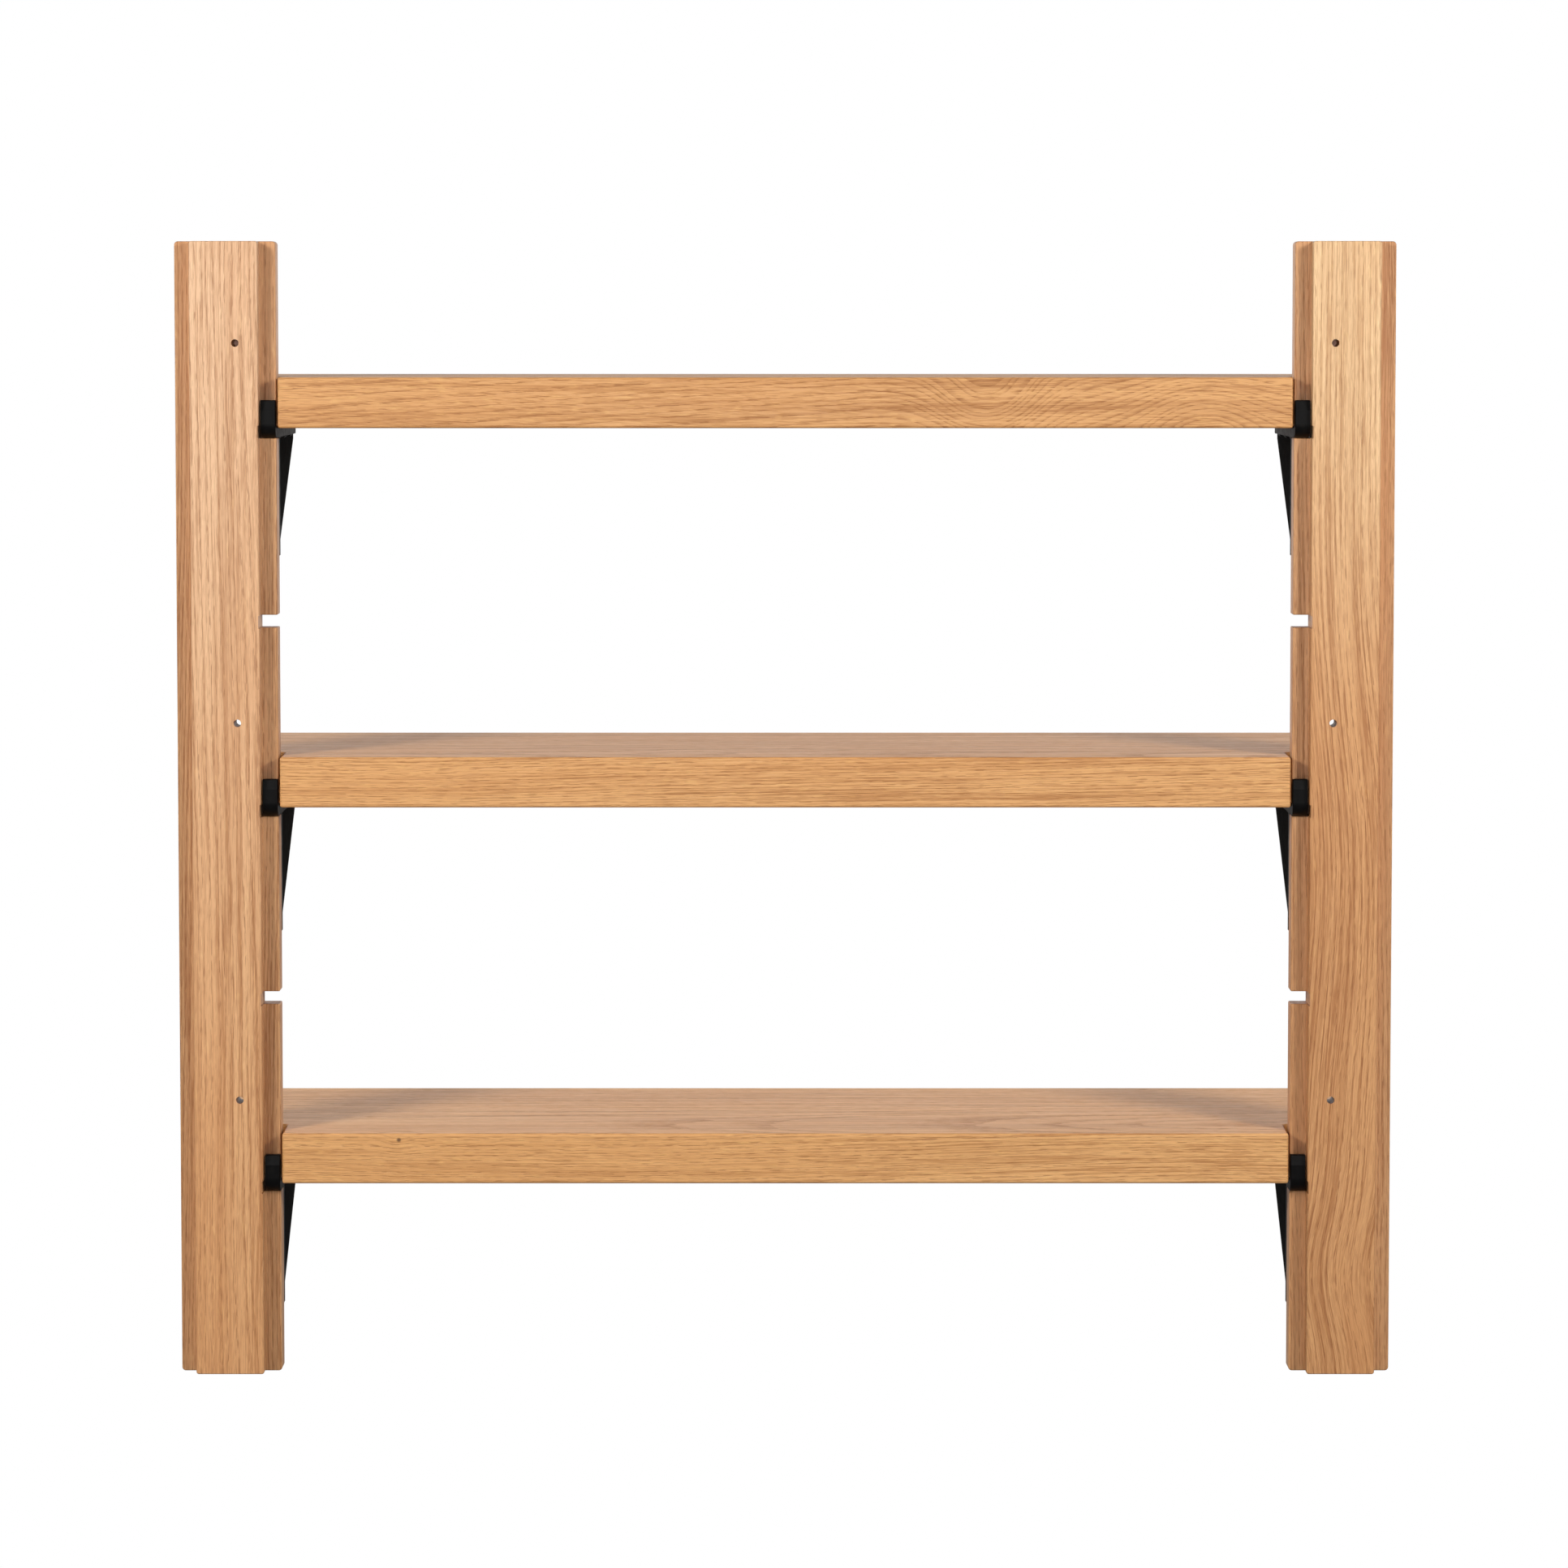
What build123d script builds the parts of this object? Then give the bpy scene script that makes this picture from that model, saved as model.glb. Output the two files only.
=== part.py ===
"""Wall shelf with brackets.

Two oak wall posts, six hooked steel brackets and three oak shelves. A post is a slotted face board on a
narrower spacer rib. The rib lies on the wall and stands the face board off it, so that a bracket's up-turned
tab fits behind the board, in the open channel beside the rib. Each shelf rests on two brackets, and its
wall-side tongue passes between the posts, which keeps both tabs from sliding out of their slots.

Millimetres. X runs along the shelves, Y from the wall into the room and Z up. The wall is the plane
Y = 0, and the origin lies on it, midway between the posts at the height of the middle screw row.
"""

import os

from build123d import *

# ---------------------------------------------------------------- shelves
tongue_length = 800.0  # the part of a shelf that passes between the posts
shelf_depth = 250.0
shelf_thickness = 40.0
shelf_end_inset = 2.0  # shelf end to the outer edge of the post it covers
shelf_wall_gap = 1.0  # keeps the tongue off the wall
shelf_edge_radius = 2.0
notch_corner_radius = 4.0

# ---------------------------------------------------------------- posts
face_board_width = 80.0
face_board_thickness = 20.0
rib_thickness = 15.0
board_corner_radius = 3.0
board_edge_radius = 1.0
rib_corner_radius = 2.0
slot_count = 5
slot_pitch = 150.0
slot_top_margin = 150.0  # top of the post to the middle of the first slot
slot_bottom_margin = 150.0
slot_mouth_radius = 1.0
shelf_slots = {"top": 0, "middle": 2, "bottom": 4}  # slots that carry a shelf, counted from the top

# ---------------------------------------------------------------- wall screws
screw_hole_diameter = 6.0
screw_row_pitch = 300.0
screw_row_top_margin = 80.0
screw_edge_distance = 31.0  # from the inner edge of the face board
screw_head_diameter = 12.0  # bore that takes the head, and then a plug
screw_head_land = 10.0  # wood left under the head in the face board
plug_chamfer = 0.5

# ---------------------------------------------------------------- brackets
bar_width = 12.0
bar_thickness = 8.0
bend_inner_radius = 3.0
tab_height = 30.0  # underside of the arm to the top of the tab
tab_bevel_height = 8.0
tab_bevel_depth = 1.5
arm_reach = 180.0  # wall to the tip of the arm
bar_edge_radius = 0.6  # along the cut sides
bar_corner_radius = 1.0  # ends of a bar
leg_drop = 94.0  # underside of the arm to the foot of the leg
web_thickness = 8.0
web_blunt_end = 4.0  # square ends of the web at the tip and at the foot

# ---------------------------------------------------------------- clearances
tongue_clearance = 2.0  # each end of the tongue to the post beside it
bar_side_clearance = 1.0  # bar to the rib
rib_nick = 1.0  # how far a slot runs on into the rib
slot_height_clearance = 2.0  # above a bar that rests in its slot
hook_clearance = 1.0  # tab to the back of the face board
notch_clearance = 9.0  # leg to the back wall of the notch above it
plug_clearance = 0.1  # plug to its bore, on the radius

# ---------------------------------------------------------------- sizes that follow
post_gap = tongue_length + 2 * tongue_clearance
inner_edge = post_gap / 2
outer_edge = inner_edge + face_board_width
overhang = bar_width + bar_side_clearance
rib_width = face_board_width - 2 * overhang
post_thickness = rib_thickness + face_board_thickness
post_height = slot_top_margin + (slot_count - 1) * slot_pitch + slot_bottom_margin
post_top = screw_row_top_margin + screw_row_pitch
post_bottom = post_top - post_height
post_centre = (inner_edge + outer_edge) / 2

slot_depth = overhang + rib_nick
slot_height = bar_thickness + slot_height_clearance
slot_heights = [post_top - slot_top_margin - n * slot_pitch for n in range(slot_count)]

screw_x = inner_edge + screw_edge_distance
screw_rows = [screw_row_pitch, 0.0, -screw_row_pitch]
head_bore_depth = face_board_thickness - screw_head_land
head_seat = post_thickness - head_bore_depth

bar_centre = inner_edge + bar_width / 2
bend_outer_radius = bend_inner_radius + bar_thickness
tab_inner_y = rib_thickness - hook_clearance
tab_outer_y = tab_inner_y - bar_thickness
leg_front = post_thickness + bar_thickness

notch_depth = post_thickness + bar_thickness + notch_clearance
shelf_length = 2 * (outer_edge - shelf_end_inset)

SIDES = {"left": -1, "right": 1}


def arm_underside(level):
    """Height of the slot floor, where the arm of the named level rests."""
    return slot_heights[shelf_slots[level]] - slot_height / 2


def block(x_range, y_range, z_range):
    """Box between two X, two Y and two Z values, in either order."""
    spans = [sorted(pair) for pair in (x_range, y_range, z_range)]
    sizes = [high - low for low, high in spans]
    middles = [(high + low) / 2 for low, high in spans]
    return Pos(*middles) * Box(*sizes)


def bore(x, z, diameter, y_range):
    """Cylinder along Y at the given X and Z."""
    low, high = y_range
    return Pos(x, (low + high) / 2, z) * Rot(90, 0, 0) * Cylinder(diameter / 2, high - low)


def eased(solid, axis, radius):
    """Solid with the rims of its first and last faces along an axis rounded."""
    faces = solid.faces().sort_by(axis)
    return fillet(faces[0].edges() + faces[-1].edges(), radius)


def slot_cutter(side, z, y_range):
    """Cutter for one slot, open at the inner edge of the face board."""
    before_mouth = side * (inner_edge - slot_depth)
    slot_end = side * (inner_edge + slot_depth)
    return block((before_mouth, slot_end), y_range, (z - slot_height / 2, z + slot_height / 2))


def is_slot_mouth(point):
    """Whether a point lies at a corner where a slot meets the board's inner edge."""
    at_edge = abs(abs(point.X) - inner_edge) < slot_mouth_radius
    at_slot = any(abs(abs(point.Z - z) - slot_height / 2) < slot_mouth_radius for z in slot_heights)
    return at_edge and at_slot


def face_board(side):
    """Slotted board on the room side of a post, with stepped screw holes."""
    board = block(
        (side * inner_edge, side * outer_edge),
        (rib_thickness, post_thickness),
        (post_bottom, post_top),
    )
    board = fillet(board.edges().filter_by(Axis.Y), board_corner_radius)
    board = eased(board, Axis.Y, board_edge_radius)
    for z in slot_heights:
        board -= slot_cutter(side, z, (0, 2 * post_thickness))
    mouths = [edge for edge in board.edges().filter_by(Axis.Y) if is_slot_mouth(edge.center())]
    board = fillet(mouths, slot_mouth_radius)
    for z in screw_rows:
        board -= bore(side * screw_x, z, screw_hole_diameter, (0, 2 * post_thickness))
        board -= bore(side * screw_x, z, screw_head_diameter, (head_seat, 2 * post_thickness))
    return board


def spacer_rib(side):
    """Narrow board between the face board and the wall, nicked where the slots run on into it."""
    rib = block(
        (side * (post_centre - rib_width / 2), side * (post_centre + rib_width / 2)),
        (0, rib_thickness),
        (post_bottom, post_top),
    )
    rib = fillet(rib.edges().filter_by(Axis.Y), rib_corner_radius)
    rib = fillet(rib.faces().sort_by(Axis.Y)[0].edges(), board_edge_radius)
    for z in slot_heights:
        rib -= slot_cutter(side, z, (-rib_thickness, 2 * rib_thickness))
    for z in screw_rows:
        rib -= bore(side * screw_x, z, screw_hole_diameter, (-rib_thickness, 2 * rib_thickness))
    return rib


def screw_plug(side):
    """Oak plug that closes the head bore of the top screw hole."""
    plug = Cylinder(screw_head_diameter / 2 - plug_clearance, head_bore_depth)
    plug = chamfer(plug.edges().sort_by(Axis.Z)[-1], plug_chamfer)
    middle_y = post_thickness - head_bore_depth / 2
    return Pos(side * screw_x, middle_y, screw_rows[0]) * Rot(-90, 0, 0) * plug


def rounded_face(corners):
    """Flat face from its corners, each given as two coordinates and a radius."""
    points = [(first, second) for first, second, _ in corners]
    radii = [radius for _, _, radius in corners]
    return make_face(FilletPolyline(*points, radius=radii, close=True))


def shelf(level):
    """Thick board with its two wall-side corners notched round the posts."""
    underside = arm_underside(level) + bar_thickness
    half_tongue = tongue_length / 2
    half_shelf = shelf_length / 2
    room_face = shelf_wall_gap + shelf_depth
    half_plan = [
        (half_tongue, shelf_wall_gap, shelf_edge_radius),
        (half_tongue, notch_depth, notch_corner_radius),
        (half_shelf, notch_depth, shelf_edge_radius),
        (half_shelf, room_face, shelf_edge_radius),
    ]
    other_half = [(-x, y, radius) for x, y, radius in reversed(half_plan)]
    board = extrude(Pos(0, 0, underside) * rounded_face(half_plan + other_half), shelf_thickness)
    return eased(board, Axis.Z, shelf_edge_radius)


def bar_slice(outline, side, width, z):
    """Outline in Y and Z carried across the bracket's centre line to the given width."""
    plane = Plane(origin=(side * bar_centre, 0, z), x_dir=(0, 1, 0), z_dir=(1, 0, 0))
    return extrude(plane * outline, width / 2, both=True)


def hooked_arm(side, z):
    """Flat bar bent up into a tab behind the face board, with a lead-in bevel at the tab's top."""
    outline = rounded_face(
        [
            (arm_reach, 0, bar_corner_radius),
            (arm_reach, bar_thickness, bar_corner_radius),
            (tab_inner_y, bar_thickness, bend_inner_radius),
            (tab_inner_y, tab_height, bar_corner_radius),
            (tab_outer_y + tab_bevel_depth, tab_height, bar_corner_radius),
            (tab_outer_y, tab_height - tab_bevel_height, 0),
            (tab_outer_y, 0, bend_outer_radius),
        ]
    )
    return eased(bar_slice(outline, side, bar_width, z), Axis.X, bar_edge_radius)


def leg_bar(side, z):
    """Straight bar welded under the arm, which bears on the room side of the face board."""
    outline = rounded_face(
        [
            (post_thickness, 0, 0),
            (post_thickness, -leg_drop, bar_corner_radius),
            (leg_front, -leg_drop, bar_corner_radius),
            (leg_front, 0, 0),
        ]
    )
    return eased(bar_slice(outline, side, bar_width, z), Axis.X, bar_edge_radius)


def web_plate(side, z):
    """Plate welded into the corner of arm and leg, set in a little from the sides of both bars."""
    outline = rounded_face(
        [
            (leg_front, 0, 0),
            (arm_reach - bar_corner_radius, 0, 0),
            (arm_reach - bar_corner_radius, -web_blunt_end, 0),
            (leg_front + web_blunt_end, bar_corner_radius - leg_drop, 0),
            (leg_front, bar_corner_radius - leg_drop, 0),
        ]
    )
    return bar_slice(outline, side, web_thickness, z)


def all_parts():
    """Every sub-part by its node name."""
    parts = {}
    for name, side in SIDES.items():
        parts[f"{name}_face_board"] = face_board(side)
        parts[f"{name}_spacer_rib"] = spacer_rib(side)
        parts[f"{name}_screw_plug"] = screw_plug(side)
    for level in shelf_slots:
        parts[f"{level}_shelf"] = shelf(level)
        for name, side in SIDES.items():
            z = arm_underside(level)
            parts[f"{level}_{name}_hooked_arm"] = hooked_arm(side, z)
            parts[f"{level}_{name}_leg_bar"] = leg_bar(side, z)
            parts[f"{level}_{name}_web_plate"] = web_plate(side, z)
    return parts


os.makedirs("parts", exist_ok=True)
for node, shape in all_parts().items():
    shape.label = node
    export_step(shape, f"parts/{node}.step")
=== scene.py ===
"""Wall shelf with brackets: its finishes, its weld beads and the studio round it.

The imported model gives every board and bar. This script dresses them in oiled oak and black steel, adds the
weld beads of the six brackets, and sets the floor, the lights and the camera. Metres, in the model's frame:
X along the shelves, Y from the wall into the room, Z up.
"""

import logging
import math
from dataclasses import dataclass
from enum import Enum
from typing import Optional, Sequence, Union

import bpy
import numpy as np
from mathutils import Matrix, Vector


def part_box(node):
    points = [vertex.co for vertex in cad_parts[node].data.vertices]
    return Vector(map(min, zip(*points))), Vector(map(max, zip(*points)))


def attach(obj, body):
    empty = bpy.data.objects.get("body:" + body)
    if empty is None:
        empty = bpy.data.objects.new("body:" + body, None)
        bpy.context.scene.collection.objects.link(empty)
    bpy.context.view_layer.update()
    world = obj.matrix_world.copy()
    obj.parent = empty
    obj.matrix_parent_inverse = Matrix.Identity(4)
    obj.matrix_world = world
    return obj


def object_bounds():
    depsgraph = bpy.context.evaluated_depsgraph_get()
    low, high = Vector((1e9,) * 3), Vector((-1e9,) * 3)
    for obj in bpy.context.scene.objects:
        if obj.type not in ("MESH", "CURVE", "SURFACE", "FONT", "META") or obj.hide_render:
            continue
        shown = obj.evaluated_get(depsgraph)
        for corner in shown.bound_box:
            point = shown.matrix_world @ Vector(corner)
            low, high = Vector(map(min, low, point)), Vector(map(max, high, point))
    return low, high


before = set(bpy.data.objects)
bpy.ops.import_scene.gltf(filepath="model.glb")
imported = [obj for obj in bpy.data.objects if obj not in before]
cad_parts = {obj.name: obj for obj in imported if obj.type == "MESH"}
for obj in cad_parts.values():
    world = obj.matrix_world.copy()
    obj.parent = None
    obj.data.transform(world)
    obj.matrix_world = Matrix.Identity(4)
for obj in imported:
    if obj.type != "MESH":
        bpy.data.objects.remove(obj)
cad_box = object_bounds()

MM = 0.001
STEEL_BODY = "wall_frame"

log = logging.getLogger("wall_shelf")

Colour = tuple[float, float, float]
Point = tuple[float, float, float]
Range = tuple[float, float]
Cells = list[tuple[int, ...]]
Socket = bpy.types.NodeSocket
Input = Union[Socket, float, Sequence[float]]


class Grain(Enum):
    """The axis that a board's fibres follow: which of X, Y and Z runs along, across and through it."""

    ALONG_X = ("X", "Y", "Z")
    ALONG_Z = ("Z", "X", "Y")


class Side(Enum):
    """The post that a piece belongs to, with the sign of its X."""

    LEFT = -1
    RIGHT = 1

    @property
    def word(self) -> str:
        """The side as it stands in the names of the pieces."""
        return self.name.lower()


class Level(Enum):
    """The height of a shelf and its two brackets."""

    TOP = "top"
    MIDDLE = "middle"
    BOTTOM = "bottom"


# ---------------------------------------------------------------- node work


class Bench:
    """A material or a world being made: short calls that add nodes and wire them."""

    MIX_FIRST, MIX_SECOND, MIX_RESULT = 6, 7, 2  # places of the Mix node's colour sockets

    def __init__(self, made: Union[bpy.types.Material, bpy.types.World]) -> None:
        """Empties the nodes of a new material or world.

        Args:
            made: the material or world.
        """
        made.use_nodes = True
        self.tree = made.node_tree
        self.tree.nodes.clear()

    def node(self, kind: str, **settings: object) -> bpy.types.Node:
        """Adds a node and sets its properties.

        Args:
            kind: its type, without the word ShaderNode.
            settings: its properties by name.

        Returns:
            The node.
        """
        made = self.tree.nodes.new("ShaderNode" + kind)
        for name, value in settings.items():
            setattr(made, name, value)
        return made

    def put(self, socket: Socket, value: Input) -> None:
        """Wires a socket into an input, or sets the input's own value.

        Args:
            socket: the input.
            value: what goes into it.
        """
        if isinstance(value, Socket):
            self.tree.links.new(value, socket)
        else:
            socket.default_value = value

    def math(self, operation: str, *values: Input, clamp: bool = False) -> Socket:
        """Takes one arithmetic step on numbers.

        Args:
            operation: the Math node's name for the step.
            values: the numbers, in the node's order.
            clamp: whether the result is held between 0 and 1.

        Returns:
            The result.
        """
        made = self.node("Math", operation=operation, use_clamp=clamp)
        for socket, value in zip(made.inputs, values):
            self.put(socket, value)
        return made.outputs[0]

    def vector(self, operation: str, *values: Input) -> Socket:
        """Takes one step on vectors.

        Args:
            operation: the Vector Math node's name for the step.
            values: the vectors, in the node's order.

        Returns:
            The resulting vector, or a number for a length or a distance.
        """
        made = self.node("VectorMath", operation=operation)
        for socket, value in zip(made.inputs, values):
            self.put(socket, value)
        return made.outputs["Value" if operation in ("LENGTH", "DISTANCE") else "Vector"]

    def split(self, vector: Input) -> dict[str, Socket]:
        """Takes a vector apart.

        Args:
            vector: the vector.

        Returns:
            Its three parts by the names of their axes.
        """
        made = self.node("SeparateXYZ")
        self.put(made.inputs[0], vector)
        return {axis: made.outputs[axis] for axis in "XYZ"}

    def join(self, *parts: Input) -> Socket:
        """Puts a vector together.

        Args:
            parts: its three numbers.

        Returns:
            The vector.
        """
        made = self.node("CombineXYZ")
        for socket, value in zip(made.inputs, parts):
            self.put(socket, value)
        return made.outputs[0]

    def bell(self, distance: Input, width: float) -> Socket:
        """Works out a bell curve: e to the power of minus the square of distance over width.

        Args:
            distance: how far a point is from the middle.
            width: distance at which the curve has fallen to a little over a third.

        Returns:
            The height of the curve, 1 in the middle.
        """
        square = self.math("POWER", self.math("DIVIDE", distance, width), 2.0)
        return self.math("EXPONENT", self.math("MULTIPLY", square, -1.0))

    def smooth(self, value: Input, start: float, end: float, low: float = 0.0, high: float = 1.0) -> Socket:
        """Takes a soft step, with an S-curve between its start and its end.

        Args:
            value: the number that the step depends on.
            start: value up to which the result is low.
            end: value from which the result is high.
            low: the result before the step.
            high: the result after it.

        Returns:
            The result.
        """
        made = self.node("MapRange", interpolation_type="SMOOTHSTEP")
        names = ("Value", "From Min", "From Max", "To Min", "To Max")
        for name, number in zip(names, (value, start, end, low, high)):
            self.put(made.inputs[name], number)
        return made.outputs["Result"]

    def noise(
        self, place: Input, stretch: Sequence[float], detail: float = 2.0, rough: float = 0.5
    ) -> bpy.types.Node:
        """Adds smooth noise.

        Args:
            place: the point.
            stretch: how many cells of the noise there are in a metre of each direction.
            detail: how many finer layers it has.
            rough: how strong each finer layer is against the one before.

        Returns:
            The noise node, with its number and its colour.
        """
        made = self.node("TexNoise", noise_dimensions="3D")
        self.put(made.inputs["Vector"], self.vector("MULTIPLY", place, stretch))
        self.put(made.inputs["Scale"], 1.0)
        self.put(made.inputs["Detail"], detail)
        self.put(made.inputs["Roughness"], rough)
        return made

    def mix(self, factor: Input, first: Input, second: Input, blend: str = "MIX") -> Socket:
        """Mixes two colours.

        Args:
            factor: 0 for the first colour, 1 for the second blended over it.
            first: the first colour.
            second: the second colour.
            blend: the Mix node's name for the way they blend.

        Returns:
            The colour between them.
        """
        made = self.node("Mix", data_type="RGBA", blend_type=blend)
        self.put(made.inputs[0], factor)
        for index, colour in ((self.MIX_FIRST, first), (self.MIX_SECOND, second)):
            whole = colour if isinstance(colour, Socket) else (*colour, 1.0)
            self.put(made.inputs[index], whole)
        return made.outputs[self.MIX_RESULT]

    def relief(self, height: Input, strength: float, distance: float) -> Socket:
        """Tilts the surface's normal by a fine relief.

        Args:
            height: the relief, as a share of its full height.
            strength: how much of the tilt counts, from 0 to 1.
            distance: full height of the relief in metres.

        Returns:
            The tilted normal.
        """
        made = self.node("Bump")
        for name, value in (("Strength", strength), ("Distance", distance), ("Height", height)):
            self.put(made.inputs[name], value)
        return made.outputs[0]

    def surface(self, **inputs: Input) -> None:
        """Adds the shader and the output.

        Args:
            inputs: the shader's inputs by their names, in lower case with underscores.
        """
        shader = self.node("BsdfPrincipled")
        names = {socket.name.lower().replace(" ", "_"): socket for socket in shader.inputs}
        for name, value in inputs.items():
            self.put(names[name], value)
        self.put(self.node("OutputMaterial").inputs["Surface"], shader.outputs[0])


@dataclass(frozen=True)
class Marking:
    """One kind of mark on a surface: smooth noise, and a soft step that turns it into a share.

    Attributes:
        stretch: how many marks there are in a metre of each direction.
        start: noise up to which the step gives low.
        end: noise from which the step gives high.
        low: the share before the step.
        high: the share after it.
        detail: how many finer layers the noise has.
        rough: how strong each finer layer is against the one before.
    """

    stretch: Point
    start: float = 0.0
    end: float = 1.0
    low: float = 0.0
    high: float = 1.0
    detail: float = 1.0
    rough: float = 0.5

    def noise(self, bench: Bench, place: Input) -> Socket:
        """The bare noise at a place."""
        return bench.noise(place, self.stretch, self.detail, self.rough).outputs[0]

    def step(self, bench: Bench, noise: Input) -> Socket:
        """The share that a value of the noise stands for."""
        return bench.smooth(noise, self.start, self.end, self.low, self.high)

    def share(self, bench: Bench, place: Input) -> Socket:
        """The share at a place."""
        return self.step(bench, self.noise(bench, place))


# ---------------------------------------------------------------- oak


@dataclass(frozen=True)
class Wander:
    """How the fibres stray from straight: noise of a stretch and detail, times a reach in metres."""

    stretch: Point
    detail: float
    reach: float


@dataclass(frozen=True)
class Sway:
    """A place where the fibres lean over to one side and back again.

    The sideways shift is the reach times a bell curve of the distance along the grain from the centre.
    """

    centre: float
    length: float
    reach: float


@dataclass(frozen=True)
class Swirl:
    """Figure round a buried branch: the rings are pushed outwards by a bell curve about a point."""

    centre: Point
    size: float
    height: float
    core: float = 0.0  # radius of the dark knot, or none


@dataclass(frozen=True)
class Fade:
    """Painted light along a board's grain: its shade changes slowly towards this tone, begun at start and
    complete at end; on the ribs it paints the tops paler and less saturated, standing in for the light and
    sheen from above.
    """

    start: float
    end: float
    tone: Colour


@dataclass(frozen=True)
class Cut:
    """How one board was sawn from the log.

    Attributes:
        pith: middle of the log, across and through the board, in the board's own coordinates.
        spacing: width of one year's growth.
        tilt: how the board leans against the log, across and through, per metre of length.
        offset: where the board's small markings start, so that no two boards are alike.
        tone: the board's own shade, as a share of the finish's red, green and blue.
        fade: painted light, which changes that shade along the board to paler and less saturated towards one
            end, or none.
        sways: where its fibres lean over.
        swirls: its figure and knots.
    """

    pith: tuple[float, float]
    spacing: float
    tilt: tuple[float, float]
    offset: Point
    tone: Colour = (1.0, 1.0, 1.0)
    fade: Optional[Fade] = None
    sways: tuple[Sway, ...] = ()
    swirls: tuple[Swirl, ...] = ()


@dataclass(frozen=True)
class Figure:
    """What the wood shows at a point of a board, as sockets of the material that is being made.

    Attributes:
        along: distance along the grain.
        place: board coordinates with the fibres' sway taken out.
        early: how porous the wood is, 1 at the start of a year's ring and 0 in its latewood.
        knot: how dark the knots are, or none.
        pores: how far the point lies in an open pore.
        fibres: noise of the finest fibres.
        streaks: noise of the streaks between fibres and rings.
        end_grain: how far the face looks along the grain.
    """

    along: Socket
    place: Socket
    early: Socket
    knot: Optional[Socket]
    pores: Socket
    fibres: Socket
    streaks: Socket
    end_grain: Socket


FIBRES = Marking((14.0, 1000.0, 1000.0), start=0.38, end=0.62, low=-0.38, high=0.50, detail=3.0, rough=0.7)
STREAKS = Marking((3.5, 280.0, 280.0), start=0.32, end=0.70, low=-0.3, high=0.55, detail=3.0, rough=0.6)
BANDS = Marking((1.1, 70.0, 70.0), start=0.40, end=0.66, low=-0.15, high=0.32)
CLOUDS = Marking((2.0, 16.0, 16.0), start=0.42, end=0.68, high=0.55, detail=2.0)
RAY_FLECKS = Marking((75.0, 330.0, 330.0), start=0.62, end=0.74)
PORES = Marking((85.0, 1550.0, 1550.0), start=0.50, end=0.60)
WANDERS = (Wander((1.5, 6.0, 6.0), 1.0, 0.022), Wander((9.0, 45.0, 45.0), 2.0, 0.0022))


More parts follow.
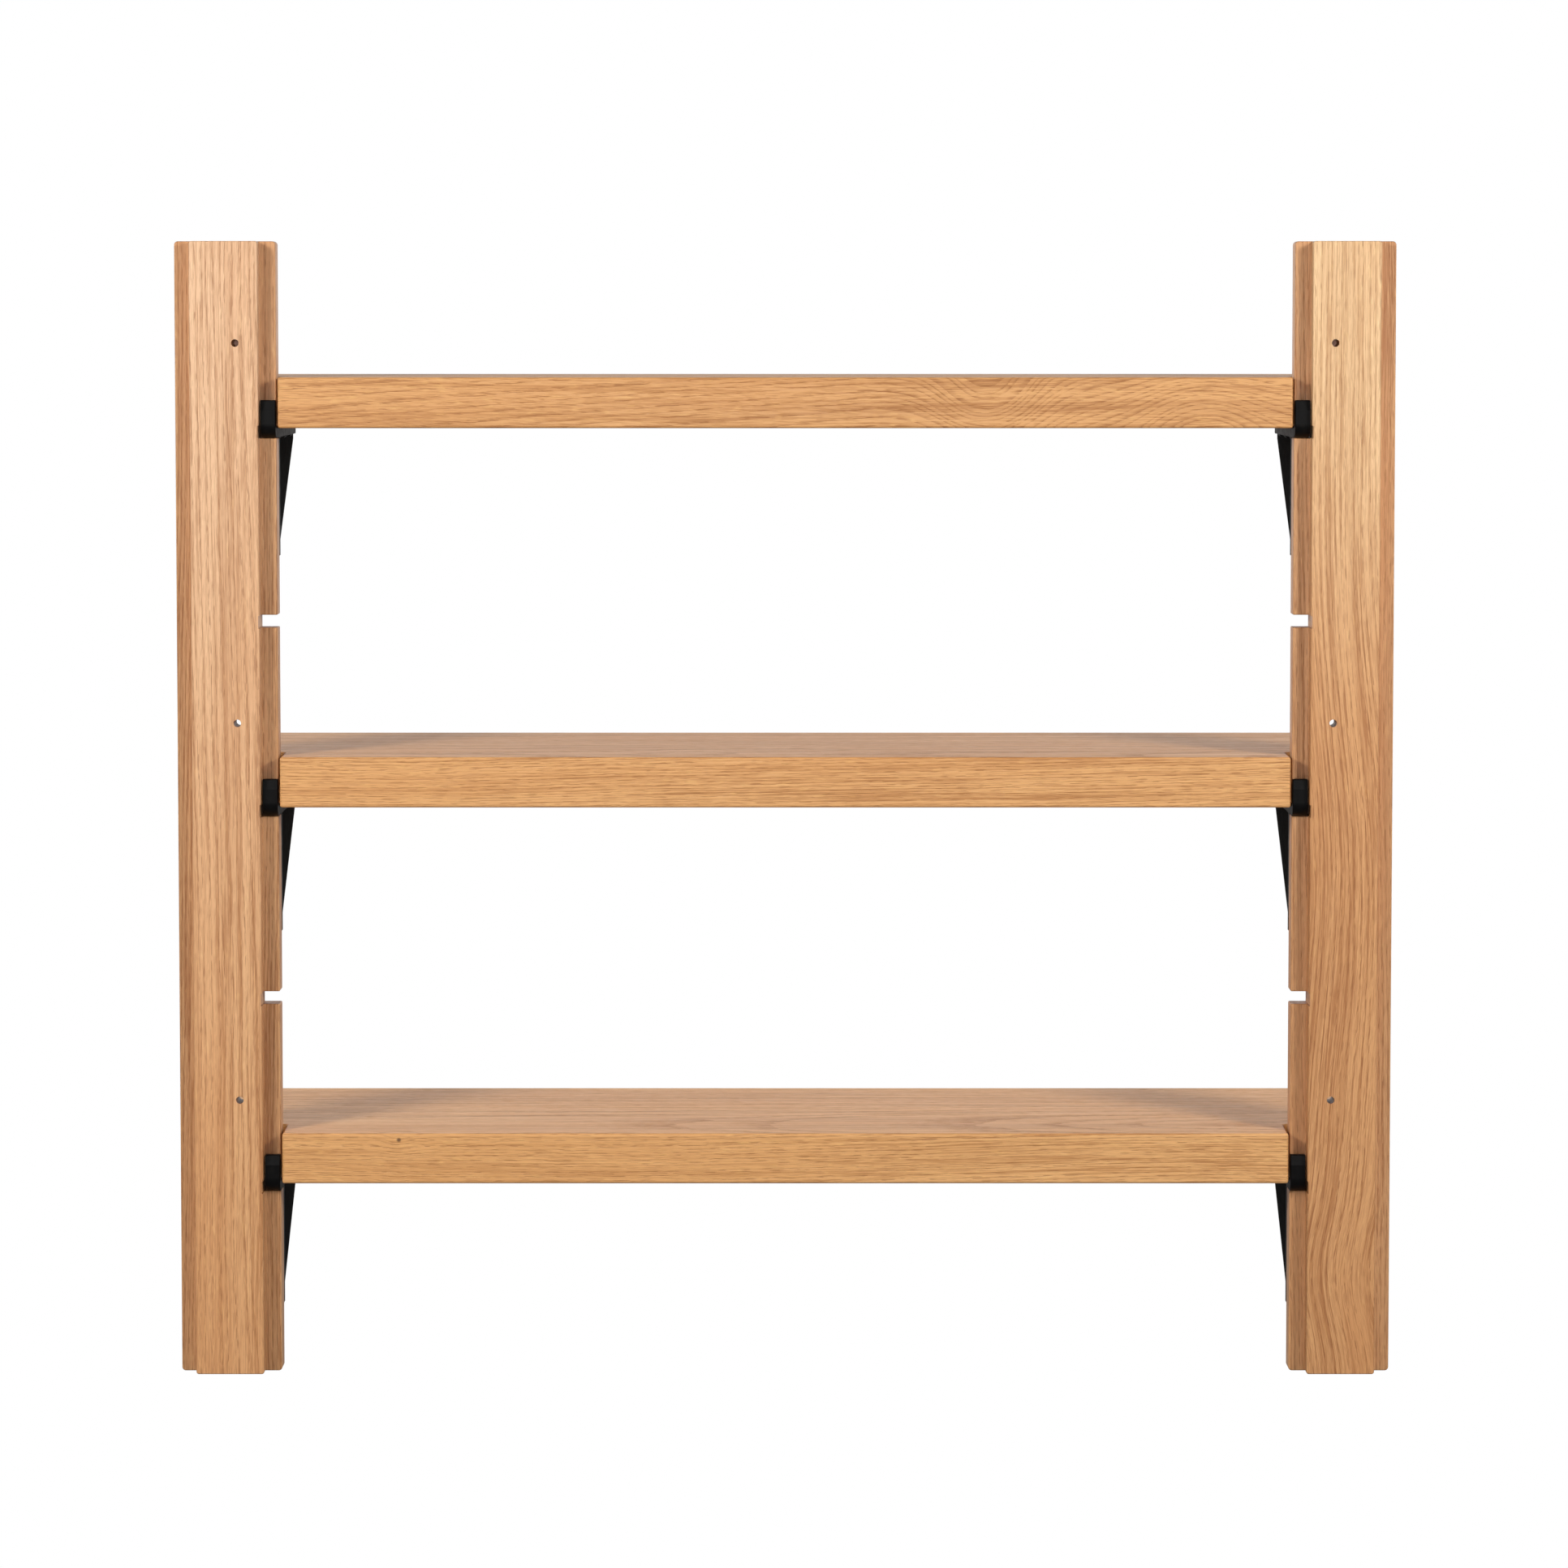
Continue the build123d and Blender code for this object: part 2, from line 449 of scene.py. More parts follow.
@dataclass(frozen=True)
class Oak:
    """Planed oak under clear matt oil: year rings, open pores, ray flecks, fibres and end grain.

    The rings are the distance from the pith line, after the fibres' sway, divided by a year's growth. The
    first part of each ring is porous earlywood, a little darker, where most of the long thin pores lie.

    Attributes:
        name: what the finish is called.
        grain: the axis that the fibres follow.
        late: colour of the dense latewood.
        early: colour of the porous earlywood.
        blush: colour of the redder clouds.
        pore: colour inside the pores.
        ring_depth: how strongly the earlywood shows.
        early_share: part of a ring by which the earlywood has ended.
        pore_depth: how strongly the pores show.
        pore_spread: share of the pores that also lie in the latewood.
        fleck_depth: how strongly the ray flecks show.
        fleck_sheen: colour of the ray flecks.
        ring_drift: how often the rings' spacing changes, per ring.
        ring_drift_reach: by how many rings it changes.
        knot_depth: how dark the middle of a knot is.
        knot_middle: share of a knot's radius that is evenly dark.
        knot_shade: colour of a knot, as a share of the pore colour.
        end_edges: how straight a face looks along the grain where the end grain begins and is complete.
        end_depth: how strongly the end grain shows.
        end_shade: shade of the end grain, as a share of the colour.
        early_sink: depth of the earlywood, as a share of a pore's.
        fibre_rise: height of the fibres, as a share of a pore's depth.
        relief_depth: depth of a pore in the relief.
        relief_strength: how much of the relief shows.
        roughness: roughness of the oiled face.
        pore_roughness: what a pore adds to it.
        sheen_edges: noise of the streaks where their sheen begins and ends.
        sheen_change: what the streaks add to the roughness, at the two edges.
    """

    name: str
    grain: Grain
    late: Colour
    early: Colour
    blush: Colour
    pore: Colour
    ring_depth: float = 0.58
    early_share: float = 0.55
    pore_depth: float = 0.66
    pore_spread: float = 0.35
    fleck_depth: float = 0.22
    fleck_sheen: Colour = (1.0, 0.93, 0.8)
    ring_drift: float = 0.37
    ring_drift_reach: float = 1.8
    knot_depth: float = 0.9
    knot_middle: float = 0.4
    knot_shade: float = 0.35
    end_edges: Range = (0.55, 0.9)
    end_depth: float = 0.75
    end_shade: Colour = (0.62, 0.52, 0.44)
    early_sink: float = 0.35
    fibre_rise: float = 0.5
    relief_depth: float = 0.22 * MM
    relief_strength: float = 0.5
    roughness: float = 0.42
    pore_roughness: float = 0.16
    sheen_edges: Range = (0.3, 0.7)
    sheen_change: Range = (-0.04, 0.05)

    def material(self, board: str, cut: Cut) -> bpy.types.Material:
        """Makes the finish for one board.

        Args:
            board: name of the board, which the material takes after the finish's own.
            cut: how the board was sawn.

        Returns:
            The material.
        """
        material = bpy.data.materials.new(f"{self.name}_{board}")
        bench = Bench(material)
        figure = self._figure(bench, cut)
        bench.surface(
            base_color=self._colour(bench, figure, cut),
            roughness=self._roughness(bench, figure),
            normal=self._relief(bench, figure),
        )
        return material

    def _figure(self, bench: Bench, cut: Cut) -> Figure:
        """Works out what the wood shows at each point.

        Args:
            bench: the material being made.
            cut: how the board was sawn.

        Returns:
            The figure.
        """
        coordinates = bench.node("TexCoord")
        point = coordinates.outputs["Object"]
        axes = bench.split(point)
        along, across, through = (axes[axis] for axis in self.grain.value)
        place = self._place(bench, along, across, through, cut)
        ring, knot = self._rings(bench, point, along, place, cut)
        early = bench.math("SUBTRACT", 1.0, bench.smooth(ring, 0.0, self.early_share))
        dense = bench.math("MULTIPLY_ADD", early, 1.0 - self.pore_spread, self.pore_spread)
        facing = bench.split(coordinates.outputs["Normal"])[self.grain.value[0]]
        return Figure(
            along=along,
            place=place,
            early=early,
            knot=knot,
            pores=bench.math("MULTIPLY", PORES.share(bench, place), dense),
            fibres=FIBRES.noise(bench, place),
            streaks=STREAKS.noise(bench, place),
            end_grain=bench.smooth(bench.math("ABSOLUTE", facing), *self.end_edges, 0.0, self.end_depth),
        )

    def _place(self, bench: Bench, along: Input, across: Input, through: Input, cut: Cut) -> Socket:
        """Shifts board coordinates to the board's own markings and takes out the fibres' sway.

        Args:
            bench: the material being made.
            along: distance along the grain.
            across: distance across the board.
            through: distance through the board.
            cut: how the board was sawn.

        Returns:
            The place, along, across and through.
        """
        for sway in cut.sways:
            bell = bench.bell(bench.math("SUBTRACT", along, sway.centre), sway.length)
            across = bench.math("MULTIPLY_ADD", bell, sway.reach, across)
        place = bench.vector("ADD", bench.join(along, across, through), cut.offset)
        warps = [bench.noise(place, wander.stretch, wander.detail).outputs["Color"] for wander in WANDERS]
        for warp, wander in zip(warps, WANDERS):
            shift = bench.vector("SUBTRACT", warp, (0.5, 0.5, 0.5))
            shift = bench.vector("MULTIPLY", shift, (0.0, wander.reach, wander.reach))
            place = bench.vector("ADD", place, shift)
        return place

    def _rings(
        self, bench: Bench, point: Input, along: Input, place: Input, cut: Cut
    ) -> tuple[Socket, Optional[Socket]]:
        """Counts the year rings out from the pith.

        Args:
            bench: the material being made.
            point: model coordinates.
            along: distance along the grain.
            place: board coordinates with the fibres' sway taken out.
            cut: how the board was sawn.

        Returns:
            The place within a year's ring, from 0 to 1, and the darkness of the knots, or none.
        """
        line = [
            bench.math("MULTIPLY_ADD", along, lean, start + shift)
            for start, lean, shift in zip(cut.pith, cut.tilt, cut.offset[1:])
        ]
        arm = bench.vector("SUBTRACT", place, bench.join(0.0, *line))
        radius = bench.vector("LENGTH", bench.vector("MULTIPLY", arm, (0.0, 1.0, 1.0)))
        knot = None
        for swirl in cut.swirls:
            distance = bench.vector("DISTANCE", point, swirl.centre)
            radius = bench.math("MULTIPLY_ADD", bench.bell(distance, swirl.size), swirl.height, radius)
            if swirl.core:
                core = bench.smooth(distance, self.knot_middle * swirl.core, swirl.core, self.knot_depth, 0.0)
                knot = core if knot is None else bench.math("MAXIMUM", knot, core)
        count = bench.math("DIVIDE", radius, cut.spacing)
        uneven = bench.node("TexNoise", noise_dimensions="1D")
        bench.put(uneven.inputs["W"], bench.math("MULTIPLY", count, self.ring_drift))
        bench.put(uneven.inputs["Scale"], 1.0)
        bench.put(uneven.inputs["Detail"], 1.0)
        count = bench.math("MULTIPLY_ADD", uneven.outputs[0], self.ring_drift_reach, count)
        return bench.math("FRACT", count), knot

    def _colour(self, bench: Bench, figure: Figure, cut: Cut) -> Socket:
        """Lays the colours over each other, from latewood to end grain.

        Args:
            bench: the material being made.
            figure: what the wood shows.
            cut: how the board was sawn.

        Returns:
            The colour.
        """
        depth = bench.math("MULTIPLY", figure.early, self.ring_depth)
        depth = bench.math("ADD", depth, STREAKS.step(bench, figure.streaks))
        depth = bench.math("ADD", depth, FIBRES.step(bench, figure.fibres), clamp=True)
        depth = bench.math("ADD", depth, BANDS.share(bench, figure.place), clamp=True)
        flecks = bench.math("MULTIPLY", RAY_FLECKS.share(bench, figure.place), self.fleck_depth)
        colour = bench.mix(depth, self.late, self.early)
        colour = bench.mix(CLOUDS.share(bench, figure.place), colour, self.blush)
        colour = bench.mix(flecks, colour, self.fleck_sheen, "SOFT_LIGHT")
        colour = bench.mix(bench.math("MULTIPLY", figure.pores, self.pore_depth), colour, self.pore)
        shade: Input = cut.tone
        # Painted light: the shade turns paler and less saturated along the grain towards the top of a rib,
        # standing in for the light and sheen from above.
        if cut.fade is not None:
            painted_light_share = bench.smooth(figure.along, cut.fade.start, cut.fade.end)
            shade = bench.mix(painted_light_share, shade, cut.fade.tone)
        colour = bench.mix(1.0, colour, shade, "MULTIPLY")
        if figure.knot is not None:
            colour = bench.mix(figure.knot, colour, tuple(self.knot_shade * part for part in self.pore))
        return bench.mix(figure.end_grain, colour, self.end_shade, "MULTIPLY")

    def _relief(self, bench: Bench, figure: Figure) -> Socket:
        """Sinks the pores and the earlywood, and raises the fibres.

        Args:
            bench: the material being made.
            figure: what the wood shows.

        Returns:
            The tilted normal.
        """
        height = bench.math("MULTIPLY", figure.pores, -1.0)
        height = bench.math("ADD", height, bench.math("MULTIPLY", figure.early, -self.early_sink))
        height = bench.math("ADD", height, bench.math("MULTIPLY", figure.fibres, self.fibre_rise))
        return bench.relief(height, self.relief_strength, self.relief_depth)

    def _roughness(self, bench: Bench, figure: Figure) -> Socket:
        """Makes the pores duller than the planed face, and varies the sheen with the streaks.

        Args:
            bench: the material being made.
            figure: what the wood shows.

        Returns:
            The roughness.
        """
        rough = bench.math("MULTIPLY_ADD", figure.pores, self.pore_roughness, self.roughness)
        return bench.math("ADD", rough, bench.smooth(figure.streaks, *self.sheen_edges, *self.sheen_change))


POST_OAK = Oak(
    "post_oak",
    Grain.ALONG_Z,
    late=(0.77, 0.455, 0.245),
    early=(0.50, 0.240, 0.105),
    blush=(0.70, 0.365, 0.175),
    pore=(0.33, 0.135, 0.052),
)
SHELF_OAK = Oak(
    "shelf_oak",
    Grain.ALONG_X,
    late=(0.76, 0.405, 0.165),
    early=(0.50, 0.225, 0.075),
    blush=(0.70, 0.340, 0.125),
    pore=(0.33, 0.130, 0.040),
)
PLUG_OAK = Oak(
    "plug_oak",
    Grain.ALONG_X,
    late=(0.88, 0.52, 0.40),
    early=(0.74, 0.40, 0.29),
    blush=(0.82, 0.46, 0.35),
    pore=(0.45, 0.20, 0.13),
)


# ---------------------------------------------------------------- steel


RUBBING = Marking((160.0, 160.0, 160.0), start=0.5, end=0.75, high=0.6, detail=3.0, rough=0.6)
COAT_GRIT = Marking((2100.0, 2100.0, 2100.0), detail=2.0, rough=0.6)


@dataclass(frozen=True)
class Steel:
    """Black powder coat on flat bar: a fine orange peel, faint rubbing, and flatter, browner cut sides.

    Attributes:
        name: what the finish is called.
        coat: colour of the coat.
        rubbed: its colour where it is rubbed.
        side: its colour on the cut sides of a bar.
        roughness: roughness of the coat.
        peel: how much of the orange peel shows.
        shine: how strongly the coat reflects.
        side_edges: how straight a face looks along X where a cut side begins and is complete.
        side_roughness: what a cut side adds to the roughness.
        sheen_edges: noise of the rubbing where its sheen begins and ends.
        sheen_change: what the rubbing adds to the roughness, at the two edges.
        grit_share: height of the grit against the broader unevenness.
        peel_depth: full height of the peel.
    """

    name: str
    coat: Colour
    rubbed: Colour
    side: Colour
    roughness: float
    peel: float
    shine: float
    side_edges: Range = (0.75, 0.97)
    side_roughness: float = 0.14
    sheen_edges: Range = (0.3, 0.7)
    sheen_change: Range = (-0.05, 0.07)
    grit_share: float = 0.6
    peel_depth: float = 0.06 * MM

    def material(self) -> bpy.types.Material:
        """Makes the finish, which all pieces of this steel share.

        Returns:
            The material.
        """
        material = bpy.data.materials.new(self.name)
        bench = Bench(material)
        coordinates = bench.node("TexCoord")
        uneven = RUBBING.noise(bench, coordinates.outputs["Object"])
        grit = COAT_GRIT.noise(bench, coordinates.outputs["Object"])
        facing = bench.split(coordinates.outputs["Normal"])["X"]
        cut_side = bench.smooth(bench.math("ABSOLUTE", facing), *self.side_edges)
        colour = bench.mix(RUBBING.step(bench, uneven), self.coat, self.rubbed)
        smoothest, roughest = (self.roughness + change for change in self.sheen_change)
        rough = bench.smooth(uneven, *self.sheen_edges, smoothest, roughest)
        height = bench.math("MULTIPLY_ADD", grit, self.grit_share, uneven)
        bench.surface(
            base_color=bench.mix(cut_side, colour, self.side),
            roughness=bench.math("MULTIPLY_ADD", cut_side, self.side_roughness, rough),
            specular_ior_level=self.shine,
            normal=bench.relief(height, self.peel, self.peel_depth),
        )
        return material


BAR_STEEL = Steel(
    "black_bar_steel",
    coat=(0.0018, 0.0018, 0.002),
    rubbed=(0.006, 0.005, 0.0042),
    side=(0.018, 0.015, 0.012),
    roughness=0.42,
    peel=0.5,
    shine=0.13,
)
WEB_STEEL = Steel(
    "black_web_steel",
    coat=(0.003, 0.003, 0.003),
    rubbed=(0.006, 0.006, 0.006),
    side=(0.003, 0.003, 0.003),
    roughness=0.8,
    peel=0.4,
    shine=0.03,
)


# ---------------------------------------------------------------- pieces


def dress(node: str, material: bpy.types.Material) -> None:
    """Gives one board or bar of the model its finish.

    Args:
        node: name of the piece in the model.
        material: its finish.
    """
    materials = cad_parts[node].data.materials
    materials.clear()
    materials.append(material)
    log.info("%s: %s", node, material.name)


@dataclass
class Post:
    """A slotted face board on its spacer rib, with the plug in its top screw hole.

    Attributes:
        side: which post it is.
        face_cut: how the face board was sawn.
        rib_cut: how the rib was sawn.
        plug_cut: how the plug was cut.
    """

    side: Side
    face_cut: Cut
    rib_cut: Cut
    plug_cut: Cut = Cut(pith=(0.0, 0.004), spacing=2.1 * MM, tilt=(0.0, 0.0), offset=(0.4, 0.7, 0.2))

    def build(self) -> None:
        """Dresses the three pieces of the post."""
        for part, cut, oak in (
            ("face_board", self.face_cut, POST_OAK),
            ("spacer_rib", self.rib_cut, POST_OAK),
            ("screw_plug", self.plug_cut, PLUG_OAK),
        ):
            name = f"{self.side.word}_{part}"
            dress(name, oak.material(name, cut))


@dataclass
class ShelfBoard:
    """One thick shelf, at its level, with how it was sawn."""

    level: Level
    cut: Cut

    def build(self) -> None:
        """Dresses the board."""
        name = f"{self.level.value}_shelf"
        dress(name, SHELF_OAK.material(name, self.cut))


@dataclass
class WeldRun:
    """A fillet bead in the corner of two faces.

    The section is a quarter turn about the root between the two face directions. Its radius runs from the
    leg length at both faces to a little more than the straight chord between them, so the bead is crowned.
    Along the run the radius has shallow ripples, one for each dab of the torch, and it draws in at the ends.

    Attributes:
        start: where the root of the bead begins.
        end: where it ends.
        first_face: direction along the first face, away from the corner.
        second_face: direction along the second face, away from the corner.
        leg: width of the bead on each face.
        crown: how far the bead bulges, from 0 at the chord to 1 at a full quarter circle.
        ripple: depth of a ripple, as a share of the leg.
        ripple_pitch: length of a ripple.
        bite: how deep the root lies in the corner.
        steps_per_ripple: rings of points in one ripple.
        fewest_rings: rings of points in a very short bead.
        arc_steps: points round the bead's face.
        end_length: length over which each end draws in.
        end_scale: size of the section at the very end.
    """

    start: Point
    end: Point
    first_face: Point
    second_face: Point
    leg: float = 1.7 * MM
    crown: float = 0.42
    ripple: float = 0.07
    ripple_pitch: float = 1.5 * MM
    bite: float = 0.2 * MM
    steps_per_ripple: int = 6
    fewest_rings: int = 12
    arc_steps: int = 7
    end_length: float = 1.6 * MM
    end_scale: float = 0.45

    def mesh(self) -> tuple[np.ndarray, Cells]:
        """Works out the bead's closed surface.

        Returns:
            Vertices in metres, and faces as tuples of vertex numbers.
        """
        start, end = np.array(self.start), np.array(self.end)
        first, second = np.array(self.first_face), np.array(self.second_face)
        length = float(np.linalg.norm(end - start))
        rings = max(self.fewest_rings, round(length / self.ripple_pitch * self.steps_per_ripple))
        along = np.linspace(0.0, length, rings)
        section = self._section(first, second)
        line = start + (along / length)[:, None] * (end - start)
        points = line[:, None, :] + self._scale(along, length)[:, None, None] * section[None, :, :]
        return points.reshape(-1, 3), self._faces(rings, len(section), first, second, end - start)

    def _scale(self, along: np.ndarray, length: float) -> np.ndarray:
        """Works out the size of the section along the bead.

        An end grows from its own scale to full size as a quarter circle does. The ripples take off a share
        of the size that follows the sine of the length run, without its sign.

        Args:
            along: distances from the start.
            length: length of the bead.

        Returns:
            The scale at each distance.
        """
        near_end = np.clip(np.minimum(along, length - along) / self.end_length, 0, 1)
        rounded = np.sqrt(1 - (1 - near_end) ** 2)
        scale = self.end_scale + (1 - self.end_scale) * rounded
        return scale * (1 - self.ripple * np.abs(np.sin(math.pi * along / self.ripple_pitch)))

    def _section(self, first: np.ndarray, second: np.ndarray) -> np.ndarray:
        """Works out the bead's outline across the run: its root, then its face.

        Args:
            first: direction along the first face.
            second: direction along the second face.

        Returns:
            Points about the corner.
        """
        turn = np.linspace(0.0, math.pi / 2, self.arc_steps)
        chord = 1 / (np.cos(turn) + np.sin(turn))
        radius = self.leg * (chord + self.crown * (1 - chord))
        bead = radius[:, None] * (np.cos(turn)[:, None] * first + np.sin(turn)[:, None] * second)
        return np.vstack([-self.bite * (first + second), bead])

    def _faces(
        self, rings: int, around: int, first: np.ndarray, second: np.ndarray, run: np.ndarray
    ) -> Cells:
        """Lists the quads between neighbouring rings and a cap on each end, all facing outwards.

        Args:
            rings: number of rings along the bead.
            around: number of points in a ring.
            first: direction along the first face.
            second: direction along the second face.
            run: direction from the start to the end.

        Returns:
            Faces as tuples of vertex numbers.
        """
        ring, spot = np.meshgrid(np.arange(rings - 1), np.arange(around), indexing="ij")
        here, there = ring * around + spot, ring * around + (spot + 1) % around
        quads = np.stack([here, there, there + around, here + around], axis=-1).reshape(-1, 4)
        caps = [np.arange(around)[::-1], (rings - 1) * around + np.arange(around)]
        if np.dot(np.cross(first, second), run) < 0:
            quads = quads[:, ::-1]
            caps = [cap[::-1] for cap in caps]
        return [tuple(quad) for quad in quads.tolist()] + [tuple(cap.tolist()) for cap in caps]


@dataclass
class Bracket:
    """A hooked arm, its leg bar and its web, with the beads that join them.

    Attributes:
        level: the shelf that it carries.
        side: the post that it hangs on.
        steel: finish of the bars and the beads.
        web_steel: finish of the web.
        tack_length: length of one short bead.
        tack_places: middles of the beads, as shares of an edge.
    """

    level: Level
    side: Side
    steel: bpy.types.Material
    web_steel: bpy.types.Material
    tack_length: float = 16.0 * MM
    tack_places: tuple[float, ...] = (0.07, 0.42, 0.80)

    def build(self) -> None:
        """Dresses the three bars and makes the weld beads."""
        stem = f"{self.level.value}_{self.side.word}"
        dress(f"{stem}_hooked_arm", self.steel)
        dress(f"{stem}_leg_bar", self.steel)
        dress(f"{stem}_web_plate", self.web_steel)
        self._weld(stem)

    def _weld(self, stem: str) -> None:
        """Makes one piece of all beads of the bracket and hangs it on the wall frame.

        Args:
            stem: the level and side, which the bracket's pieces share in their names.
        """
        vertices: list[np.ndarray] = []
        faces: Cells = []
        for run in self._runs(stem):
            points, cells = run.mesh()
            shift = sum(len(block) for block in vertices)
            vertices.append(points)
            faces.extend(tuple(index + shift for index in cell) for cell in cells)
        mesh = bpy.data.meshes.new(f"{stem}_weld_beads")
        mesh.from_pydata(np.vstack(vertices).tolist(), [], faces)
        mesh.shade_smooth()
        mesh.materials.append(self.steel)
        piece = bpy.data.objects.new(mesh.name, mesh)
        bpy.context.scene.collection.objects.link(piece)
        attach(piece, STEEL_BODY)
        log.info("%s: %d faces", piece.name, len(faces))

    def _runs(self, stem: str) -> list[WeldRun]:
        """Places short tacks on both sides of the web, along the arm and along the leg.

        Args:
            stem: the level and side, which the bracket's pieces share in their names.

        Returns:
            The beads.
        """
        leg_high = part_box(f"{stem}_leg_bar")[1]
        web_low, web_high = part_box(f"{stem}_web_plate")
        top, front = leg_high.z, leg_high.y
        down, out, half = (0.0, 0.0, -1.0), (0.0, 1.0, 0.0), self.tack_length / 2
        runs = []
        for sign, x in ((-1.0, web_low.x), (1.0, web_high.x)):
            away = (sign, 0.0, 0.0)
            for share in self.tack_places:
                y = front + max(share * (web_high.y - front), half)
                z = top - max(share * (top - web_low.z), half)
                runs.append(WeldRun((x, y - half, top), (x, y + half, top), away, down))
                runs.append(WeldRun((x, front, z - half), (x, front, z + half), away, out))
        return runs


POSTS = (
    Post(
        Side.LEFT,
        face_cut=Cut(
            pith=(0.055, -0.06),
            spacing=3.4 * MM,
            tilt=(0.02, 0.03),
            offset=(1.3, 0.42, 0.11),
            tone=(0.83, 0.77, 0.66),
        ),
        rib_cut=Cut(
            pith=(-0.35, -0.12),
            spacing=3.3 * MM,
            tilt=(0.012, 0.02),
            offset=(2.9, 0.18, 0.57),
            tone=(1.0, 0.93, 0.80),
            # Painted light: the rib's shade turns paler and bluer towards its top.
            fade=Fade(-0.45, 0.36, (1.0, 1.08, 1.2)),
        ),
    ),
    Post(
        Side.RIGHT,
        face_cut=Cut(
            pith=(0.30, 0.16),
            spacing=2.4 * MM,
            tilt=(0.0, 0.012),
            offset=(4.4, 0.93, 0.29),
            tone=(0.88, 0.81, 0.70),
        ),
        rib_cut=Cut(
            pith=(0.52, -0.05),
            spacing=4.0 * MM,
            tilt=(0.015, 0.05),
            offset=(7.1, 0.66, 0.83),
            tone=(0.87, 0.76, 0.60),
            # Painted light: the rib's shade turns paler and bluer towards its top.
            fade=Fade(-0.05, 0.34, (1.07, 1.24, 1.28)),
            sways=(Sway(-0.44, 0.055, 0.012), Sway(-0.12, 0.16, -0.016)),
        ),
    ),
)
SHELVES = (
    ShelfBoard(
        Level.TOP,
        Cut(
            pith=(-0.16, 0.10),
            spacing=3.6 * MM,
            tilt=(0.03, 0.05),
            offset=(0.6, 2.3, 1.7),
            tone=(0.91, 0.89, 0.82),
            swirls=(Swirl((0.16, 0.0, 0.255), 0.045, 0.030), Swirl((0.33, 0.0, 0.235), 0.05, -0.022)),
        ),
    ),
    ShelfBoard(
        Level.MIDDLE,
        Cut(
            pith=(0.02, -0.42),
            spacing=2.4 * MM,
            tilt=(0.0, 0.008),
            offset=(3.7, 1.1, 2.6),
            tone=(1.0, 1.0, 0.95),
        ),
    ),
    ShelfBoard(
        Level.BOTTOM,
        Cut(
            pith=(0.05, -0.62),
            spacing=2.8 * MM,
            tilt=(0.0, 0.014),
            offset=(5.2, 3.4, 0.9),
            tone=(1.06, 1.09, 1.06),
            swirls=(Swirl((-0.307, 0.0, -0.332), 0.012, 0.004, core=2.6 * MM),),
        ),
    ),
)


# ---------------------------------------------------------------- studio


@dataclass
class SoftLight:
    """A square soft box that faces a point of the object.

    Attributes:
        name: what the light is called.
        place: where it hangs.
        power: its strength in watts.
        size: length of its edge.
        aim: the point that it faces.
        colour: its colour.
    """

    name: str
    place: Point
    power: float
    size: float
    aim: Point = (0.0, 0.0, 0.0)
    colour: Colour = (1.0, 0.98, 0.955)

    def build(self) -> None:
        """Hangs the light, which the camera doesn't see."""
        data = bpy.data.lights.new(self.name, "AREA")
        data.energy = self.power
        data.size = self.size
        data.color = self.colour
        lamp = bpy.data.objects.new(self.name, data)
        lamp.location = self.place
        lamp.visible_camera = False
        facing = np.array(self.aim) - np.array(self.place)
        pitch = math.acos(-facing[2] / np.linalg.norm(facing))
        lamp.rotation_euler = (pitch, 0.0, math.atan2(facing[0], -facing[1]) + math.pi)
        bpy.context.scene.collection.objects.link(lamp)


SOFT_LIGHTS = (
    SoftLight("soft_box_left", (-1.55, -1.5, 0.95), 34.5, 0.5, aim=(-0.1, 0.0, 0.0)),
    SoftLight("soft_box_right", (1.55, -1.5, 0.95), 34.0, 0.5, aim=(0.1, 0.0, 0.0)),
    SoftLight("front_fill", (0.0, -4.3, 0.45), 30.0, 0.5),
)


